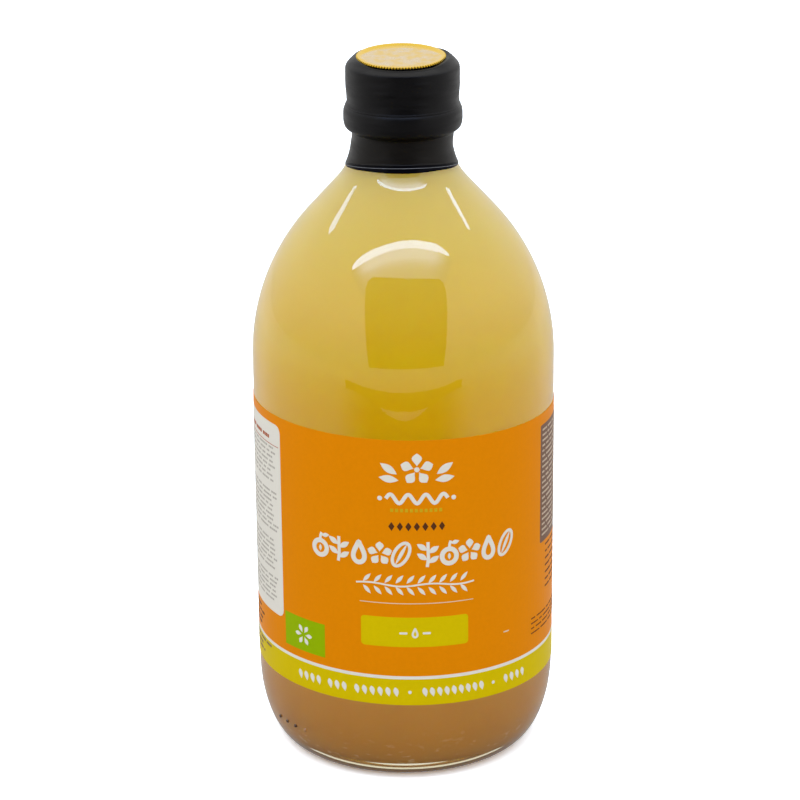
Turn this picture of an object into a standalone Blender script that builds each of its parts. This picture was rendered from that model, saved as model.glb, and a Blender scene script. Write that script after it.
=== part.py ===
"""A 500 ml round glass bottle of cloudy cider vinegar, shut and standing upright.

Metres, +Z up. The origin is the centre of the flat ring that the bottle stands on, and the
front of the label faces -Y. Every piece is turned about Z, so each one is a half profile of
(radius, height) points that a Screw modifier takes round. Film, label and gold disc are then
pushed a little out of true, as they are on the real bottle.
"""

import math

import bmesh
import bpy

MM = 0.001

# Driving dimensions of the glass, in metres
BODY_RADIUS = 38.0 * MM
STAND_RADIUS = 29.0 * MM
PUNT_RADIUS = 25.0 * MM
PUNT_RISE = 2.0 * MM
HEEL_HEIGHT = 21.0 * MM
SHOULDER_START = 103.0 * MM
SHOULDER_RADIUS = 54.7 * MM
SHOULDER_ANGLE = math.radians(42.5)
NECK_RADIUS = 11.95 * MM
NECK_FILLET = 17.0 * MM
MOUTH_HEIGHT = 172.0 * MM
WALL = 2.3 * MM
BORE_RADIUS = 9.2 * MM
FLOOR_EDGE_HEIGHT = 4.4 * MM
FLOOR_DOME = 1.4 * MM
INNER_HEEL_WIDTH = 8.2 * MM
INNER_HEEL_HEIGHT = 13.0 * MM

# What is inside
SEDIMENT_TOP = 26.0 * MM
FILL_HEIGHT = 158.0 * MM
FIT_GAP = 0.3 * MM

# Paper label, which goes all the way round and sits slightly askew
LABEL_BOTTOM = 22.6 * MM
LABEL_TOP = 92.4 * MM
LABEL_THICKNESS = 0.3 * MM
LABEL_SKEW = math.radians(1.4)

# Closure under the film
CAP_TOP = 175.4 * MM
CAP_EDGE = 0.7 * MM
CAP_ROOF = 1.6 * MM
CAP_SKIRT_RADIUS = 13.4 * MM
CAP_GROOVE_RADIUS = 13.15 * MM
CAP_GROOVE_HEIGHT = 169.2 * MM
CAP_BAND_RADIUS = 14.0 * MM
CAP_BAND_TOP = 165.4 * MM
CAP_BOTTOM = 161.9 * MM
CAP_BORE = 12.3 * MM

# Shrunk film capsule: outer radii at the named heights
FILM_THICKNESS = 0.35 * MM
FILM_LOW_HEIGHT = 153.3 * MM
FILM_TILT = math.radians(3.5)
FILM_NECK_RADIUS = 12.55 * MM
FILM_BAND_RADIUS = 14.66 * MM
FILM_GROOVE_RADIUS = 13.85 * MM
FILM_SKIRT_RADIUS = 14.1 * MM
FILM_CREASE_RADIUS = 13.75 * MM
FILM_CREASE_HEIGHT = 176.0 * MM
FILM_FOLD_RADIUS = 9.4 * MM
FILM_FOLD_HEIGHT = 177.75 * MM

# Gold disc on top
DISC_TOP = 178.8 * MM
DISC_THICKNESS = 0.7 * MM
DISC_RADIUS = 10.8 * MM
DISC_TEETH = 52
TOOTH_DEPTH = 0.45 * MM
RIM_WIDTH = 0.9 * MM
RIM_RISE = 0.22 * MM
RING_RADIUS = 3.3 * MM

# One segment for each tooth keeps all the turned pieces in step
SEGMENTS = DISC_TEETH
BRIM_RADIUS = 0.5 * MM


def clear_scene():
    for item in list(bpy.data.objects):
        bpy.data.objects.remove(item, do_unlink=True)


def srgb_to_linear(value):
    return value / 12.92 if value <= 0.04045 else ((value + 0.055) / 1.055) ** 2.4


def material(name, hex_colour, roughness, metallic=0.0, transmission=0.0):
    """A Principled material in the colour that the hex value gives."""
    made = bpy.data.materials.new(name)
    made.use_nodes = True
    shader = made.node_tree.nodes["Principled BSDF"]
    channels = [int(hex_colour[i:i + 2], 16) / 255 for i in (0, 2, 4)]
    shader.inputs["Base Color"].default_value = [srgb_to_linear(c) for c in channels] + [1.0]
    shader.inputs["Roughness"].default_value = roughness
    shader.inputs["Metallic"].default_value = metallic
    shader.inputs["Transmission Weight"].default_value = transmission
    return made


def arc(centre, radii, start, end, steps):
    """Points on an ellipse about centre, from angle start to angle end, both ends included."""
    points = []
    for i in range(steps + 1):
        angle = start + (end - start) * i / steps
        points.append((centre[0] + radii[0] * math.cos(angle), centre[1] + radii[1] * math.sin(angle)))
    return points


def shoulder_and_neck(body_radius, shoulder_radius, neck_radius, fillet, steps):
    """From the top of the straight side, up a round shoulder and a short cone, into the neck."""
    centre = (body_radius - shoulder_radius, SHOULDER_START)
    shoulder = arc(centre, (shoulder_radius, shoulder_radius), 0.0, SHOULDER_ANGLE, steps)
    edge_radius, edge_height = shoulder[-1]
    root_radius = neck_radius + fillet * (1 - math.cos(SHOULDER_ANGLE))
    root_height = edge_height + (edge_radius - root_radius) / math.tan(SHOULDER_ANGLE)
    fillet_centre = (neck_radius + fillet, root_height + fillet * math.sin(SHOULDER_ANGLE))
    root = arc(fillet_centre, (fillet, fillet), math.pi + SHOULDER_ANGLE, math.pi, steps - 1)
    return shoulder + root


def turned(name, profile, finish, collection, segments=SEGMENTS, closed=True):
    """A solid of revolution. A closed profile never touches the axis, an open one ends on it."""
    mesh = bpy.data.meshes.new(name)
    count = len(profile)
    edges = [(i, i + 1) for i in range(count - 1)]
    if closed:
        edges.append((count - 1, 0))
    mesh.from_pydata([(radius, 0.0, height) for radius, height in profile], edges, [])
    item = bpy.data.objects.new(name, mesh)
    collection.objects.link(item)
    screw = item.modifiers.new("turn", "SCREW")
    screw.axis = "Z"
    screw.steps = segments
    screw.render_steps = segments
    screw.use_merge_vertices = True
    screw.merge_threshold = 0.00001
    screw.use_smooth_shade = True
    graph = bpy.context.evaluated_depsgraph_get()
    solid = bpy.data.meshes.new_from_object(item.evaluated_get(graph))
    solid.name = name
    item.modifiers.remove(screw)
    item.data = solid
    bpy.data.meshes.remove(mesh)
    solid.materials.append(finish)
    return item


def reshape(item, move):
    """Moves each vertex of a turned piece by a rule on (radius, angle, height)."""
    shape = bmesh.new()
    shape.from_mesh(item.data)
    for vertex in shape.verts:
        radius = math.hypot(vertex.co.x, vertex.co.y)
        angle = math.atan2(vertex.co.y, vertex.co.x)
        radius, height = move(radius, angle, vertex.co.z)
        vertex.co = (radius * math.cos(angle), radius * math.sin(angle), height)
    bmesh.ops.recalc_face_normals(shape, faces=shape.faces)
    shape.to_mesh(item.data)
    shape.free()


def smoothstep(value, low, high):
    share = min(1.0, max(0.0, (value - low) / (high - low)))
    return share * share * (3 - 2 * share)


def glass_outside():
    """The outer wall from the neck's top down to the ring that the bottle stands on."""
    heel_width = BODY_RADIUS - STAND_RADIUS
    heel = arc((STAND_RADIUS, HEEL_HEIGHT), (heel_width, HEEL_HEIGHT), -math.pi / 2, 0.0, 6)
    upper = shoulder_and_neck(BODY_RADIUS, SHOULDER_RADIUS, NECK_RADIUS, NECK_FILLET, 6)
    wall = heel + upper + [(NECK_RADIUS, MOUTH_HEIGHT - BRIM_RADIUS)]
    return wall[::-1]


def glass_inside(gap=0.0):
    """The inner wall from the centre of the floor up to the neck, set in by the gap."""
    radius = BODY_RADIUS - WALL - gap
    floor_radius = radius - INNER_HEEL_WIDTH
    floor = [(floor_radius * share, FLOOR_EDGE_HEIGHT + FLOOR_DOME * (1 - share * share) + gap)
             for share in (0.0, 0.45, 0.8)]
    heel_centre = (floor_radius, FLOOR_EDGE_HEIGHT + INNER_HEEL_HEIGHT + gap)
    heel = arc(heel_centre, (INNER_HEEL_WIDTH, INNER_HEEL_HEIGHT), -math.pi / 2, 0.0, 5)
    shoulder_radius = SHOULDER_RADIUS - WALL - gap
    upper = shoulder_and_neck(radius, shoulder_radius, BORE_RADIUS - gap, NECK_FILLET + WALL, 5)
    return floor + heel + upper


def cut_profile(profile, height):
    """Splits a profile that rises along its points at a height: what is below, what is above."""
    for i in range(1, len(profile)):
        low, high = profile[i - 1], profile[i]
        if low[1] < height <= high[1]:
            share = (height - low[1]) / (high[1] - low[1])
            cut = (low[0] + (high[0] - low[0]) * share, height)
            return profile[:i] + [cut], [cut] + profile[i:]
    return profile, []


def ring_volume(profile):
    """Volume inside a rising profile, in cubic metres, as a stack of short cones."""
    total = 0.0
    for low, high in zip(profile, profile[1:]):
        squares = low[0] ** 2 + low[0] * high[0] + high[0] ** 2
        total += math.pi * (high[1] - low[1]) * squares / 3
    return total


def make_bottle(collection):
    """Clear glass, open at the mouth, with a shallow push-up under its base."""
    glass = material("flint_glass", "E6EBDC", 0.02, transmission=1.0)
    outside = glass_outside()
    lip = [(BORE_RADIUS, MOUTH_HEIGHT - BRIM_RADIUS), (BORE_RADIUS + BRIM_RADIUS, MOUTH_HEIGHT),
           (NECK_RADIUS - BRIM_RADIUS, MOUTH_HEIGHT)]
    inside = glass_inside()
    punt = [(PUNT_RADIUS, 0.0), (PUNT_RADIUS * 0.72, PUNT_RISE * 0.7), (0.0, PUNT_RISE)]
    profile = inside + lip + outside + punt
    return turned("glass_bottle", profile, glass, collection, closed=False)


def make_vinegar(collection):
    """The cloudy drink above the settled layer, up to a level hidden behind the film."""
    finish = material("cloudy_vinegar", "D0AC46", 0.1)
    above = cut_profile(glass_inside(FIT_GAP), SEDIMENT_TOP + FIT_GAP)[1]
    column = cut_profile(above, FILL_HEIGHT)[0]
    if column[-1][1] < FILL_HEIGHT:
        column.append((BORE_RADIUS - FIT_GAP, FILL_HEIGHT))
    profile = [(0.0, FILL_HEIGHT)] + column[::-1] + [(0.0, column[0][1])]
    return turned("vinegar", profile, finish, collection, closed=False)


def make_sediment(collection):
    """The brown layer that has settled on the floor of the bottle."""
    finish = material("settled_mother", "A5732D", 0.4)
    below = cut_profile(glass_inside(FIT_GAP), SEDIMENT_TOP)[0]
    profile = [(0.0, SEDIMENT_TOP)] + below[::-1]
    return turned("sediment", profile, finish, collection, closed=False)


def make_label(collection):
    """A paper label all the way round, tilted a little to the right as it was put on."""
    finish = material("printed_paper", "D78200", 0.55)
    inner = BODY_RADIUS + FIT_GAP
    outer = inner + LABEL_THICKNESS
    profile = [(outer, LABEL_TOP), (outer, LABEL_BOTTOM), (inner, LABEL_BOTTOM), (inner, LABEL_TOP)]
    label = turned("paper_label", profile, finish, collection)

    def askew(radius, angle, height):
        return radius, height - radius * math.cos(angle) * math.tan(LABEL_SKEW)

    reshape(label, askew)
    return label


def make_cap(collection):
    """A plain closure: roof, skirt, a groove where its wider lower band would break away."""
    finish = material("moulded_closure", "1C1B1C", 0.45)
    outside = [(CAP_SKIRT_RADIUS - CAP_EDGE, CAP_TOP), (CAP_SKIRT_RADIUS, CAP_TOP - CAP_EDGE),
               (CAP_SKIRT_RADIUS, CAP_GROOVE_HEIGHT + CAP_EDGE),
               (CAP_GROOVE_RADIUS, CAP_GROOVE_HEIGHT),
               (CAP_GROOVE_RADIUS, CAP_BAND_TOP + CAP_EDGE), (CAP_BAND_RADIUS, CAP_BAND_TOP),
               (CAP_BAND_RADIUS, CAP_BOTTOM + 1.3 * CAP_EDGE),
               (CAP_GROOVE_RADIUS, CAP_BOTTOM)]
    inside = [(CAP_BORE, CAP_BOTTOM), (CAP_BORE, CAP_TOP - CAP_ROOF), (0.0, CAP_TOP - CAP_ROOF)]
    profile = [(0.0, CAP_TOP)] + outside + inside
    return turned("screw_cap", profile, finish, collection, closed=False)


def film_outside():
    """Outer line of the film, from its fold on top down to its lower edge on the glass."""
    crown = [(FILM_FOLD_RADIUS, FILM_FOLD_HEIGHT), (DISC_RADIUS, FILM_FOLD_HEIGHT - 0.25 * MM),
             (12.5 * MM, 176.75 * MM), (FILM_CREASE_RADIUS, FILM_CREASE_HEIGHT)]
    skirt = [(FILM_SKIRT_RADIUS, 174.9 * MM), (FILM_SKIRT_RADIUS, 173.4 * MM),
             (FILM_SKIRT_RADIUS, 172.0 * MM), (14.0 * MM, 170.6 * MM),
             (FILM_GROOVE_RADIUS, CAP_GROOVE_HEIGHT), (13.95 * MM, 167.9 * MM)]
    band = [(14.3 * MM, 166.5 * MM), (14.6 * MM, 165.2 * MM), (FILM_BAND_RADIUS, 163.6 * MM),
            (14.45 * MM, 162.0 * MM), (13.85 * MM, 161.0 * MM), (12.8 * MM, 160.2 * MM)]
    neck = [(FILM_NECK_RADIUS, 159.3 * MM), (12.72 * MM, 157.0 * MM), (13.27 * MM, 155.0 * MM),
            (14.1 * MM, FILM_LOW_HEIGHT)]
    return crown + skirt + band + neck


def offset_line(points, distance):
    """The same line moved inwards, square to itself, by the distance."""
    moved = []
    for i, (radius, height) in enumerate(points):
        before = points[max(i - 1, 0)]
        after = points[min(i + 1, len(points) - 1)]
        along = (after[0] - before[0], after[1] - before[1])
        length = math.hypot(*along)
        moved.append((radius + along[1] / length * distance, height - along[0] / length * distance))
    return moved


def film_folds(angle, height):
    """Low sideways folds of the shrunk film: height, middle angle, half width and depth."""
    folds = ((174.3, -80, 30, 0.16), (172.2, -118, 34, -0.14), (171.3, -72, 26, 0.14),
             (168.2, -60, 40, 0.16), (173.0, 20, 36, -0.18), (170.7, 150, 40, 0.15),
             (174.0, 100, 45, 0.16), (167.6, 190, 40, -0.12))
    total = 0.0
    for middle_height, middle_angle, half_width, depth in folds:
        turn = (math.degrees(angle) - middle_angle + 180) % 360 - 180
        across = max(0.0, 1 - (turn / half_width) ** 2)
        up = max(0.0, 1 - ((height / MM - middle_height) / 1.4) ** 2)
        total += depth * MM * across * up
    return total


def make_capsule(collection):
    """Black film shrunk over the closure and neck, open at its foot and under the gold disc."""
    finish = material("shrink_film", "181718", 0.35)
    outside = film_outside()
    profile = outside + offset_line(outside, FILM_THICKNESS)[::-1]
    capsule = turned("shrink_capsule", profile, finish, collection)

    def shrink(radius, angle, height):
        crown = smoothstep(height, FILM_CREASE_HEIGHT - FILM_THICKNESS, FILM_FOLD_HEIGHT - 0.4 * MM)
        foot = 1 - smoothstep(height, FILM_LOW_HEIGHT, FILM_LOW_HEIGHT + 4 * MM)
        tilt = (crown + foot) * radius * math.sin(angle) * math.tan(FILM_TILT)
        return radius + film_folds(angle, height), height + tilt

    reshape(capsule, shrink)
    return capsule


def make_disc(collection):
    """A gold foil disc with a crimped edge, a raised rim and a shallow ring at its middle."""
    finish = material("gold_foil", "E8B83C", 0.3, metallic=1.0)
    well = DISC_TOP - RIM_RISE
    top = [(0.0, well), (RING_RADIUS, well), (RING_RADIUS + RIM_WIDTH, well - 0.12 * MM),
           (DISC_RADIUS - 2 * RIM_WIDTH, well), (DISC_RADIUS - RIM_WIDTH, DISC_TOP),
           (DISC_RADIUS, DISC_TOP - 0.15 * MM)]
    foot = [(DISC_RADIUS, DISC_TOP - DISC_THICKNESS), (0.0, DISC_TOP - DISC_THICKNESS)]
    disc = turned("gold_disc", top + foot, finish, collection, 2 * DISC_TEETH, closed=False)
    half_tooth = math.pi / DISC_TEETH

    def crimp(radius, angle, height):
        valley = round(angle / half_tooth) % 2
        edge = valley and radius > DISC_RADIUS - 0.5 * RIM_WIDTH
        tilt = radius * math.sin(angle) * math.tan(FILM_TILT)
        return radius - (TOOTH_DEPTH if edge else 0.0), height + tilt

    reshape(disc, crimp)
    return disc


def main():
    clear_scene()
    collection = bpy.data.collections.new("vinegar_bottle")
    bpy.context.scene.collection.children.link(collection)
    pieces = [make(collection) for make in (make_bottle, make_vinegar, make_sediment, make_label,
                                            make_cap, make_capsule, make_disc)]
    for item in pieces:
        item.data.set_sharp_from_angle(angle=math.radians(35))
    filled = ring_volume(cut_profile(glass_inside(), FILL_HEIGHT)[0])
    print(f"fill volume {filled * 1e6:.0f} ml")


main()
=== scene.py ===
# %% [markdown]
# # A bottle of cloudy vinegar, shut and standing
#
# The real thing is a half litre of unfiltered cider vinegar in clear flint glass, with a paper
# label wrapped round it, a black film shrunk over its closure and a gold foil disc on top.
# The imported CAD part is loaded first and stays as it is. It gives every size, and the pieces made
# here are dressed over it: each one stands for a CAD solid or lies on one.

import math
import random

import bmesh
import bpy
from mathutils import Matrix, Vector


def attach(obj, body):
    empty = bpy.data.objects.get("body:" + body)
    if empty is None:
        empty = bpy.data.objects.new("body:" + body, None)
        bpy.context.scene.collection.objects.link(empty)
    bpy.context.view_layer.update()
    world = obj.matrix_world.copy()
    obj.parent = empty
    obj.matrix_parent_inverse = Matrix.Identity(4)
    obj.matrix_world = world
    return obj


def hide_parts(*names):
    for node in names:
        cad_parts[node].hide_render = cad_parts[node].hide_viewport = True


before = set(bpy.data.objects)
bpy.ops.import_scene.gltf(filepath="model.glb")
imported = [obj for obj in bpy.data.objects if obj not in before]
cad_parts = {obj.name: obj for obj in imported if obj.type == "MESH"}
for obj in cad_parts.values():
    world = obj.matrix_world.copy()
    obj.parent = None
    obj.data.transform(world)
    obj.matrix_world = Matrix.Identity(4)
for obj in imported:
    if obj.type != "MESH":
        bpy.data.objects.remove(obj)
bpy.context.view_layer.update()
MM = 0.001

# %% [markdown]
# ## Small helpers
#
# Blender works in linear light, while colours read off a screen are sRGB, so one function turns
# hex values into linear ones. Another adds a node to any tree, shader or geometry alike: its own
# settings go in by name, and each input gets a value, another node's socket, or the node itself
# where its first socket is meant. Writing it once keeps every tree below short enough to read.


# %% Colours
def linear(hex_colour):
    """An sRGB hex value as linear red, green, blue and alpha."""
    shares = [int(hex_colour[i:i + 2], 16) / 255 for i in (0, 2, 4)]
    return [s / 12.92 if s <= 0.04045 else ((s + 0.055) / 1.055) ** 2.4 for s in shares] + [1.0]


print("orange in linear light:", [round(x, 3) for x in linear("DD8500")])


# %% Nodes
def feed(tree, node, inputs):
    """Fills a node's inputs, in order or by name: plain values, sockets, or nodes for their
    first socket."""
    for name, value in inputs.items() if isinstance(inputs, dict) else enumerate(inputs):
        if isinstance(value, bpy.types.Node):
            value = value.outputs[0]
        if isinstance(value, bpy.types.NodeSocket):
            tree.links.new(value, node.inputs[name])
        else:
            node.inputs[name].default_value = value


def add(tree, kind, inputs=(), **settings):
    """Adds a node. A kind with no Node in its name is a shader node, as all the maths is."""
    node = tree.nodes.new(kind if "Node" in kind else "ShaderNode" + kind)
    for name, value in settings.items():
        setattr(node, name, value)
    feed(tree, node, inputs)
    return node


def ramp_over(tree, value, stops):
    """A colour ramp over a length: stops are (mm, colour), from lowest to highest."""
    low, high = stops[0][0], stops[-1][0]
    share = add(tree, "MapRange", {"Value": value, "From Min": low * MM, "From Max": high * MM})
    ramp = add(tree, "ValToRGB", [share])
    for _ in stops[2:]:
        ramp.color_ramp.elements.new(1.0)
    for stop, (mm, colour) in zip(ramp.color_ramp.elements, stops):
        stop.position, stop.color = (mm - low) / (high - low), colour
    return ramp


print("one unit is", round(1 / MM), "mm")


# %% Meshes and objects
def new_mesh(name, points, faces=()):
    """A mesh from points in mm."""
    mesh = bpy.data.meshes.new(name)
    mesh.from_pydata([[c * MM for c in point] for point in points], [], faces)
    return mesh


def new_object(name, data):
    """An object with this data, put into the scene."""
    item = bpy.data.objects.new(name, data)
    bpy.context.scene.collection.objects.link(item)
    return item


# %% [markdown]
# ## The camera
#
# A product photograph like this one is taken from a little above with a long lens. The lens and
# the place were found by fitting a pinhole camera to the outline, so they go in as numbers. The
# camera's own axes make the columns of its matrix, which avoids any doubt about Euler angles.

# %% Camera
FRAME_PIXELS = 800
FOCAL_PIXELS = 2801
SENSOR_MM = 36.0
CAMERA_DISTANCE = 711 * MM
LOOK_AT = Vector((-0.94, 0.0, 89.8)) * MM
CAMERA_PITCH = math.radians(18.81)
CAMERA_ROLL = math.radians(-0.48)

camera_data = bpy.data.cameras.new("camera")
camera_data.sensor_width = SENSOR_MM
camera_data.lens = FOCAL_PIXELS / FRAME_PIXELS * SENSOR_MM
camera = new_object("camera", camera_data)
bpy.context.scene.camera = camera

back = Vector((0.0, -math.cos(CAMERA_PITCH), math.sin(CAMERA_PITCH)))
flat_up = Vector((0.0, math.sin(CAMERA_PITCH), math.cos(CAMERA_PITCH)))
flat_right = Vector((1.0, 0.0, 0.0))
right = flat_right * math.cos(CAMERA_ROLL) + flat_up * math.sin(CAMERA_ROLL)
up = flat_up * math.cos(CAMERA_ROLL) - flat_right * math.sin(CAMERA_ROLL)
camera.matrix_world = (Matrix.Translation(LOOK_AT + back * CAMERA_DISTANCE)
                       @ Matrix((right, up, back)).transposed().to_4x4())
print(f"lens {camera_data.lens:.1f} mm, camera {camera.matrix_world.translation.z / MM:.0f} mm up")

# %% [markdown]
# ## Studio light
#
# A bottle is photographed inside a tent of white cloth, because glass shows whatever is round
# it. The world is that tent: brighter above, behind and at the sides, darker low down in front,
# where the photographer stands. The Standard view keeps the whites and the saturated inks as
# they are.

# %% The tent
FRONT_LOW, BACK_LOW, TENT_TOP = 0.85, 1.25, 1.15
TENT_RISE, SIDES_FROM, SIDES_ADD = (0.05, 0.45), 0.4, 0.18

scene = bpy.context.scene
scene.view_settings.view_transform = "Standard"
scene.world = bpy.data.worlds.new("light tent")
scene.world.use_nodes = True
tent = scene.world.node_tree
way = add(tent, "SeparateXYZ", [add(tent, "TexCoord").outputs["Generated"]]).outputs
low = add(tent, "MapRange", {"Value": way["Y"], "From Min": -0.6, "From Max": 0.6,
                             "To Min": FRONT_LOW, "To Max": BACK_LOW})
high = add(tent, "MapRange", {"Value": way["Z"], "From Min": TENT_RISE[0],
                              "From Max": TENT_RISE[1]}, interpolation_type="SMOOTHSTEP")
glow = add(tent, "Mix", {0: high, 2: low, 3: TENT_TOP})
aside = add(tent, "Math", [way["X"]], operation="ABSOLUTE")
sides = add(tent, "MapRange", {"Value": aside, "From Min": SIDES_FROM, "To Max": SIDES_ADD})
total = add(tent, "Math", [glow, sides], operation="ADD")
feed(tent, tent.nodes["Background"], {"Strength": total, "Color": linear("FFFDFA")})
print("tent strength from", FRONT_LOW, "to", BACK_LOW)

# %% [markdown]
# ## Floor and what the glass meets
#
# The floor in the picture is burnt out to white, with a hair of shadow where the glass stands,
# and the light that it throws up is softer. One sheet can't do all that, so each kind of ray has
# its own. The camera sees a very pale sheet. The light bounces off a greyer one just under it.
# What glass and film mirror is a third, with a dome over it: dim where the photographer stands,
# and bright at the sides, where the tent's lamps are. Two more glow only for rays that have
# passed through the glass, and light the liquid behind it.


# %% Sheets that are painted or that glow
def stage_sheet(name, rays, corners, glow=None, paint=(1.0, 1.0, 1.0, 1.0), faces=None):
    """A sheet of the studio that only the named rays meet. It is painted, unless it has a glow:
    a number, or a function that adds the glow's nodes and gives back the last."""
    mesh = new_mesh(name, corners, faces or [tuple(range(len(corners)))])
    finish = bpy.data.materials.new(name)
    finish.use_nodes = True
    tree = finish.node_tree
    tree.nodes.remove(tree.nodes["Principled BSDF"])
    if glow is None:
        shader = add(tree, "BsdfDiffuse", {"Color": paint})
    else:
        strength = glow(tree, add(tree, "TexCoord").outputs["Object"]) if callable(glow) else glow
        shader = add(tree, "Emission", {"Color": paint, "Strength": strength})
    feed(tree, tree.nodes["Material Output"], {"Surface": shader})
    mesh.materials.append(finish)
    sheet = new_object(name, mesh)
    for kind in ("camera", "diffuse", "glossy", "transmission", "volume_scatter", "shadow"):
        setattr(sheet, "visible_" + kind, kind in rays.split())


FLOOR_HALF, FLOOR_DROP = 4000, 0.05


def floor_sheet(name, rays, layer, **finish):
    """A level square under the bottle, a little lower for each layer."""
    stage_sheet(name, rays, [(x * FLOOR_HALF, y * FLOOR_HALF, -layer * FLOOR_DROP)
                             for x, y in ((-1, -1), (1, -1), (1, 1), (-1, 1))], **finish)


# The printed coats throw a warm light on the floor, which the photo's white balance takes out
floor_sheet("floor", "camera", 1, paint=(1.64, 1.79, 1.97, 1.0))
floor_sheet("bounce_floor", "diffuse shadow", 2, paint=(0.46, 0.455, 0.45, 1.0))
print("floor is", 2 * FLOOR_HALF / 1000, "m wide")

# %% Glows that change round the bottle
REAR_FROM = 0.6  # past this share of the way back, the side's glow gives way to the rear's


def compass(tree, place):
    """A place's distance from the axis, and how far back its direction points, -1 to 1."""
    level = add(tree, "VectorMath", [place, (1, 1, 0)], operation="MULTIPLY")
    way = add(tree, "VectorMath", [level], operation="NORMALIZE")
    return (add(tree, "VectorMath", [level], operation="LENGTH").outputs["Value"],
            add(tree, "SeparateXYZ", [way]).outputs["Y"])


def round_glow(front, side, rear, measure, stops):
    """A glow that changes round the bottle, and with the distance or height in mm."""
    def glow(tree, place):
        reach, behind = compass(tree, place)
        if measure == "height":
            reach = add(tree, "SeparateXYZ", [place]).outputs["Z"]
        ahead = add(tree, "MapRange", {"Value": behind, "From Min": -1.0, "From Max": 0.0,
                                       "To Min": front / side, "To Max": 1.0})
        past = add(tree, "MapRange", {"Value": behind, "From Min": REAR_FROM, "To Min": side,
                                      "To Max": rear})
        both = add(tree, "Math", [ahead, past], operation="MULTIPLY")
        ramp = ramp_over(tree, reach, [(mm, (part, part, part, 1.0)) for mm, part in stops])
        return add(tree, "Math", [both, ramp], operation="MULTIPLY")
    return glow


print("the rear's glow begins at", REAR_FROM, "of the way back")

# %% The mirrored tent
DOME_RADIUS, DOME_SIDES, DOME_RINGS = 3900, 32, 8
dome_corners = [(DOME_RADIUS * math.cos(e) * math.cos(a), DOME_RADIUS * math.cos(e) * math.sin(a),
                 DOME_RADIUS * math.sin(e))
                for e in (math.pi / 2 * j / DOME_RINGS for j in range(DOME_RINGS))
                for a in (math.tau * i / DOME_SIDES for i in range(DOME_SIDES))]
dome_corners.append((0, 0, DOME_RADIUS))
dome_faces = []
for j in range(DOME_RINGS):
    for i in range(DOME_SIDES):
        a, b = j * DOME_SIDES + i, j * DOME_SIDES + (i + 1) % DOME_SIDES
        dome_faces.append((a, b, b + DOME_SIDES, a + DOME_SIDES) if j < DOME_RINGS - 1
                          else (a, b, len(dome_corners) - 1))
stage_sheet("mirrored_tent", "glossy", dome_corners, faces=dome_faces,
            glow=round_glow(1.5, 1.7, 1.25, "height", [(0, 0.75), (1400, 1.0)]))
print("dome faces:", len(dome_faces))

# %% The mirrored floor, and light through the glass
mirrored_floor_glow = round_glow(0.95, 1.5, 0.9, "distance",
                                 [(30, 0.32), (220, 0.68), (800, 1.0)])
floor_sheet("mirrored_floor", "glossy", 2, glow=mirrored_floor_glow)


def shaded_in_front(tree, place):
    """The mirrored floor's own glow, shaded straight ahead of the bottle."""
    shade = add(tree, "MapRange", {"Value": compass(tree, place)[1], "From Min": -0.95,
                                   "From Max": -0.6, "To Min": 0.1, "To Max": 1.0},
                interpolation_type="SMOOTHSTEP")
    return add(tree, "Math", [mirrored_floor_glow(tree, place), shade], operation="MULTIPLY")


SHADED_X, SHADED_NEAR, SHADED_FAR = 400, -328, -180
stage_sheet("shaded_floor", "glossy", [(x, y, -FLOOR_DROP) for x, y in (
    (-SHADED_X, SHADED_NEAR), (SHADED_X, SHADED_NEAR), (SHADED_X, SHADED_FAR),
    (-SHADED_X, SHADED_FAR))], shaded_in_front)
# Two glows for light that comes in through the glass: the floor, shaded near the bottle, and a
# low wall in front of it
floor_sheet("floor_through_glass", "transmission", 3, paint=(1.0, 0.95, 0.72, 1.0),
            glow=round_glow(2.3, 2.3, 2.3, "distance", [(30, 0.3), (45, 0.6), (65, 1.0)]))
FRONT_AWAY, FRONT_TALL, FRONT_GLOW = 900, 700, 1.9
stage_sheet("front_through_glass", "transmission", [
    (x * FRONT_AWAY, -FRONT_AWAY, z) for x, z in (
        (-1, 0), (1, 0), (1, FRONT_TALL), (-1, FRONT_TALL))], FRONT_GLOW)
print("shaded floor:", 2 * SHADED_X, "by", SHADED_FAR - SHADED_NEAR, "mm")

# %% [markdown]
# ## Lamp and cards
#
# The long lamp overhead makes the bright arch on the shoulder, and its glow on the cloth in
# front of it fills the arch. A dark card in front of the bottle, round the camera, makes the
# deep patch below. Two small bright cards draw the streaks beside the neck, and the table's dark
# edge a smile low on the wall. Lamp and bright cards are cooler than the cloth.

# %% Lamp and its glow
COOL = (0.5, 0.65, 1.0, 1.0)
LAMP_STRENGTH, WASH_STRENGTH, CLOTH_STRENGTH, LAMP_HEIGHT = 15.0, 9.0, 1.6, 765
# Corners from the far left, round by the right: the lamp hangs a few degrees askew
LAMP_OUTLINE = [(-600, -378), (-492, -336), (-335, -325), (-143, -322), (34, -306), (210, -287),
                (334, -266), (410, -270), (500, -290), (510, -312), (419, -327), (283, -347),
                (94, -366), (-149, -388), (-355, -404), (-522, -416), (-615, -416)]
LAMP_SKEW, LAMP_NEAR, GLOW_MIDDLE, GLOW_REACH = 0.089, -372, -45, (330, 590)
GLOW_FADES = [(-390, 1.6), (-270, 2.7), (-200, 3.0), (-160, 3.8), (-125, 4.7), (-100, 5.9),
              (-70, 7.4), (0, 7.8)]  # mm in front of the lamp, and strength
GLOW_LEFT, GLOW_RIGHT, GLOW_DEPTH = -640, 560, 390


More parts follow.
